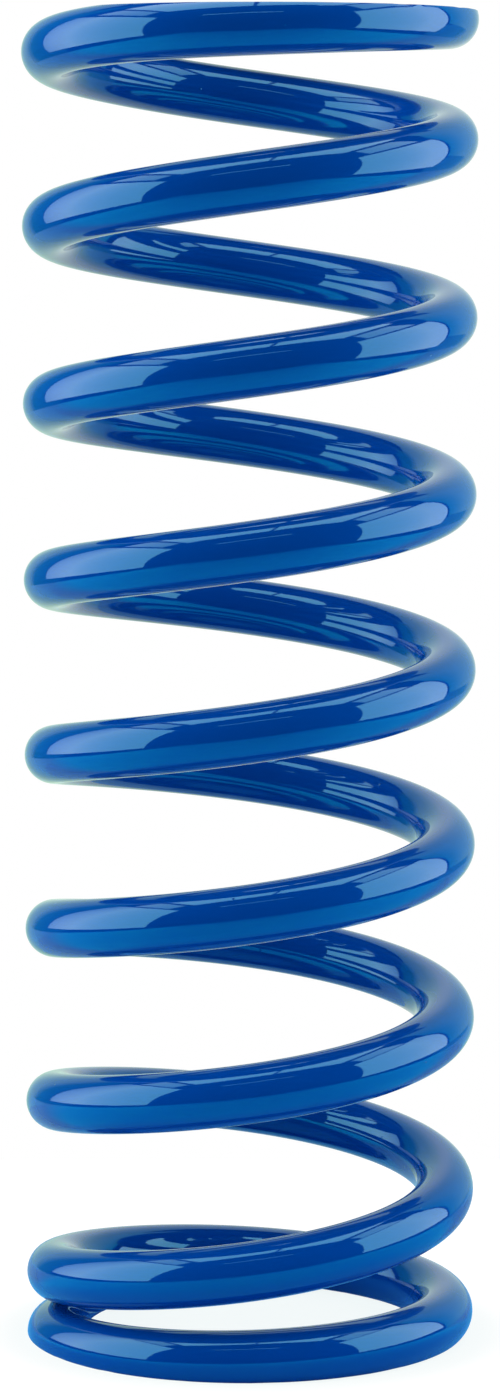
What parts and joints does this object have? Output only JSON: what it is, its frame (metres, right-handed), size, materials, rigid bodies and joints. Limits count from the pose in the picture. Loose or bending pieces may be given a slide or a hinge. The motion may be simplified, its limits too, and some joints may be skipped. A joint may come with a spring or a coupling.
{
  "type": "coil-over shock spring",
  "caption": "Helical compression spring of round wire, its ends closed and ground flat, that slips over a shock absorber's body and sits between its two seats.",
  "frame": {"origin": "centre of the lower ground face, on the coil's axis", "axes": "+Z along the coil's axis from the lower ground face to the upper one; -Y is the side the picture looks at"},
  "size_m": [0.0864, 0.0864, 0.254],
  "materials": {
    "paint": "deep gloss blue paint or powder coat over the whole wire, ground faces included"
  },
  "bodies": {
    "root": {"coil_spring": "paint"}
  },
  "joints": []
}
